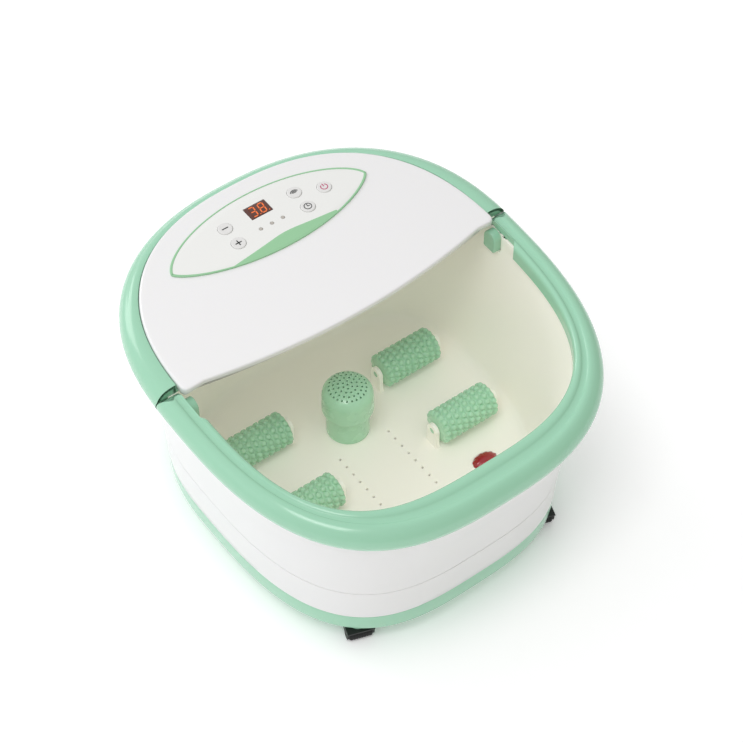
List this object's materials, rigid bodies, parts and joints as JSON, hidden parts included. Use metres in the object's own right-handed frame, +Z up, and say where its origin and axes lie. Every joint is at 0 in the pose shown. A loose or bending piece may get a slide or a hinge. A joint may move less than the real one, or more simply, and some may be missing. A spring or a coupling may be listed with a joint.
{
  "type": "foot spa basin",
  "caption": "Foot spa basin with a heated bubbling tub, rear control hood, swing-up carry handle, massage rollers, herb box, infrared lamps and swivel casters.",
  "frame": {"origin": "on the floor under the middle of the object's box", "axes": "+Z up, +X to the right of the seated user's view from the front, -Y towards the seated user; the control hood is on the +Y side"},
  "size_m": [0.38, 0.4184, 0.2378],
  "materials": {
    "white_body": "satin moulded",
    "cream_tub": "satin moulded",
    "mint_trim": "gloss moulded",
    "panel_grey": "satin film",
    "accent_green": "printed satin",
    "smoked_window": "polished smoked",
    "button_white": "satin",
    "led_lens": "clear diffused",
    "jade_plastic": "translucent look, satin",
    "red_lens": "polished",
    "black_plastic": "satin",
    "wheel_rubber": "satin",
    "steel": "brushed",
    "aluminium": "cast",
    "board_green": "solder mask",
    "dark_plastic": "matt"
  },
  "bodies": {
    "body": {"outer_shell": "white_body", "base_pan": "mint_trim", "inner_tub": "cream_tub", "hood_cover": "white_body", "hood_liner": "panel_grey", "rear_rim_trim": "mint_trim", "hinge_pin_left": "steel", "hinge_pin_right": "steel", "hinge_bracket_left": "mint_trim", "hinge_bracket_right": "mint_trim", "panel_plate": "panel_grey", "panel_bezel": "accent_green", "panel_accent": "accent_green", "display_window": "smoked_window", "display_module": "dark_plastic", "control_board": "board_green", "herb_box_cup": "jade_plastic", "infrared_lens_left": "red_lens", "infrared_lens_right": "red_lens", "infrared_lamp_left": "dark_plastic", "infrared_lamp_right": "dark_plastic", "heater_plate": "aluminium", "thermostat": "dark_plastic", "blower_housing": "dark_plastic", "blower_motor": "steel", "air_hose": "dark_plastic", "air_manifold": "panel_grey", "power_board": "board_green", "transformer": "dark_plastic", "cord_gland": "black_plastic", "indicator_led_1": "led_lens", "indicator_led_2": "led_lens", "indicator_led_3": "led_lens", "base_screw_1": "steel", "base_screw_2": "steel", "base_screw_3": "steel", "base_screw_4": "steel"},
    "button_temp_down": {"button_temp_down": "button_white"},
    "button_temp_up": {"button_temp_up": "button_white"},
    "button_bubble": {"button_bubble": "button_white"},
    "button_timer": {"button_timer": "button_white"},
    "button_power": {"button_power": "button_white"},
    "massage_roller_front_left": {"massage_roller_front_left": "jade_plastic"},
    "massage_roller_front_right": {"massage_roller_front_right": "jade_plastic"},
    "massage_roller_rear_left": {"massage_roller_rear_left": "jade_plastic"},
    "massage_roller_rear_right": {"massage_roller_rear_right": "jade_plastic"},
    "caster_fork_front_left": {"caster_fork_front_left": "black_plastic"},
    "caster_fork_front_right": {"caster_fork_front_right": "black_plastic"},
    "caster_fork_rear_left": {"caster_fork_rear_left": "black_plastic"},
    "caster_fork_rear_right": {"caster_fork_rear_right": "black_plastic"},
    "caster_wheel_front_left": {"caster_wheel_front_left": "wheel_rubber"},
    "caster_wheel_front_right": {"caster_wheel_front_right": "wheel_rubber"},
    "caster_wheel_rear_left": {"caster_wheel_rear_left": "wheel_rubber"},
    "caster_wheel_rear_right": {"caster_wheel_rear_right": "wheel_rubber"},
    "carry_handle": {"carry_handle": "mint_trim"},
    "herb_box_cap": {"herb_box_cap": "jade_plastic"},
    "blower_impeller": {"blower_impeller": "button_white"}
  },
  "joints": [
    {"name": "handle_hinge", "type": "hinge", "parent": "body", "child": "carry_handle", "pos_m": [0, 0.0183, 0.2122], "axis": [-1, 0, 0], "range_deg": [0, 90]},
    {"name": "press_temp_down", "type": "slide", "parent": "body", "child": "button_temp_down", "axis": [0, 0, -1], "range_m": [0, 0.0008], "stiffness_N_per_m": 1200},
    {"name": "press_temp_up", "type": "slide", "parent": "body", "child": "button_temp_up", "axis": [0, 0, -1], "range_m": [0, 0.0008], "stiffness_N_per_m": 1200},
    {"name": "press_bubble", "type": "slide", "parent": "body", "child": "button_bubble", "axis": [0, 0, -1], "range_m": [0, 0.0008], "stiffness_N_per_m": 1200},
    {"name": "press_timer", "type": "slide", "parent": "body", "child": "button_timer", "axis": [0, 0, -1], "range_m": [0, 0.0008], "stiffness_N_per_m": 1200},
    {"name": "press_power", "type": "slide", "parent": "body", "child": "button_power", "axis": [0, 0, -1], "range_m": [0, 0.0008], "stiffness_N_per_m": 1200},
    {"name": "roller_spin_front_left", "type": "hinge", "parent": "body", "child": "massage_roller_front_left", "pos_m": [-0.088, -0.043, 0.073], "axis": [1, 0, 0], "continuous": true},
    {"name": "roller_spin_front_right", "type": "hinge", "parent": "body", "child": "massage_roller_front_right", "pos_m": [0.088, -0.043, 0.073], "axis": [1, 0, 0], "continuous": true},
    {"name": "roller_spin_rear_left", "type": "hinge", "parent": "body", "child": "massage_roller_rear_left", "pos_m": [-0.086, 0.042, 0.073], "axis": [1, 0, 0], "continuous": true},
    {"name": "roller_spin_rear_right", "type": "hinge", "parent": "body", "child": "massage_roller_rear_right", "pos_m": [0.086, 0.042, 0.073], "axis": [1, 0, 0], "continuous": true},
    {"name": "herb_cap_lift", "type": "slide", "parent": "body", "child": "herb_box_cap", "axis": [0, 0, 1], "range_m": [0, 0.09]},
    {"name": "caster_swivel_front_left", "type": "hinge", "parent": "body", "child": "caster_fork_front_left", "pos_m": [-0.1045, -0.1395, 0.016], "axis": [0, 0, 1], "continuous": true},
    {"name": "wheel_spin_front_left", "type": "hinge", "parent": "caster_fork_front_left", "child": "caster_wheel_front_left", "pos_m": [-0.10629, -0.1447, 0.0062], "axis": [0.9455, -0.3256, 0], "continuous": true},
    {"name": "caster_swivel_front_right", "type": "hinge", "parent": "body", "child": "caster_fork_front_right", "pos_m": [0.1045, -0.1395, 0.016], "axis": [0, 0, 1], "continuous": true},
    {"name": "wheel_spin_front_right", "type": "hinge", "parent": "caster_fork_front_right", "child": "caster_wheel_front_right", "pos_m": [0.10271, -0.1447, 0.0062], "axis": [0.9455, -0.3256, 0], "continuous": true},
    {"name": "caster_swivel_rear_left", "type": "hinge", "parent": "body", "child": "caster_fork_rear_left", "pos_m": [-0.1045, 0.1395, 0.016], "axis": [0, 0, 1], "continuous": true},
    {"name": "wheel_spin_rear_left", "type": "hinge", "parent": "caster_fork_rear_left", "child": "caster_wheel_rear_left", "pos_m": [-0.10629, 0.1343, 0.0062], "axis": [0.9455, -0.3256, 0], "continuous": true},
    {"name": "caster_swivel_rear_right", "type": "hinge", "parent": "body", "child": "caster_fork_rear_right", "pos_m": [0.1045, 0.1395, 0.016], "axis": [0, 0, 1], "continuous": true},
    {"name": "wheel_spin_rear_right", "type": "hinge", "parent": "caster_fork_rear_right", "child": "caster_wheel_rear_right", "pos_m": [0.10271, 0.1343, 0.0062], "axis": [0.9455, -0.3256, 0], "continuous": true},
    {"name": "impeller_spin", "type": "hinge", "parent": "body", "child": "blower_impeller", "pos_m": [-0.046, 0.15, 0.066], "axis": [0, 1, 0], "continuous": true}
  ]
}
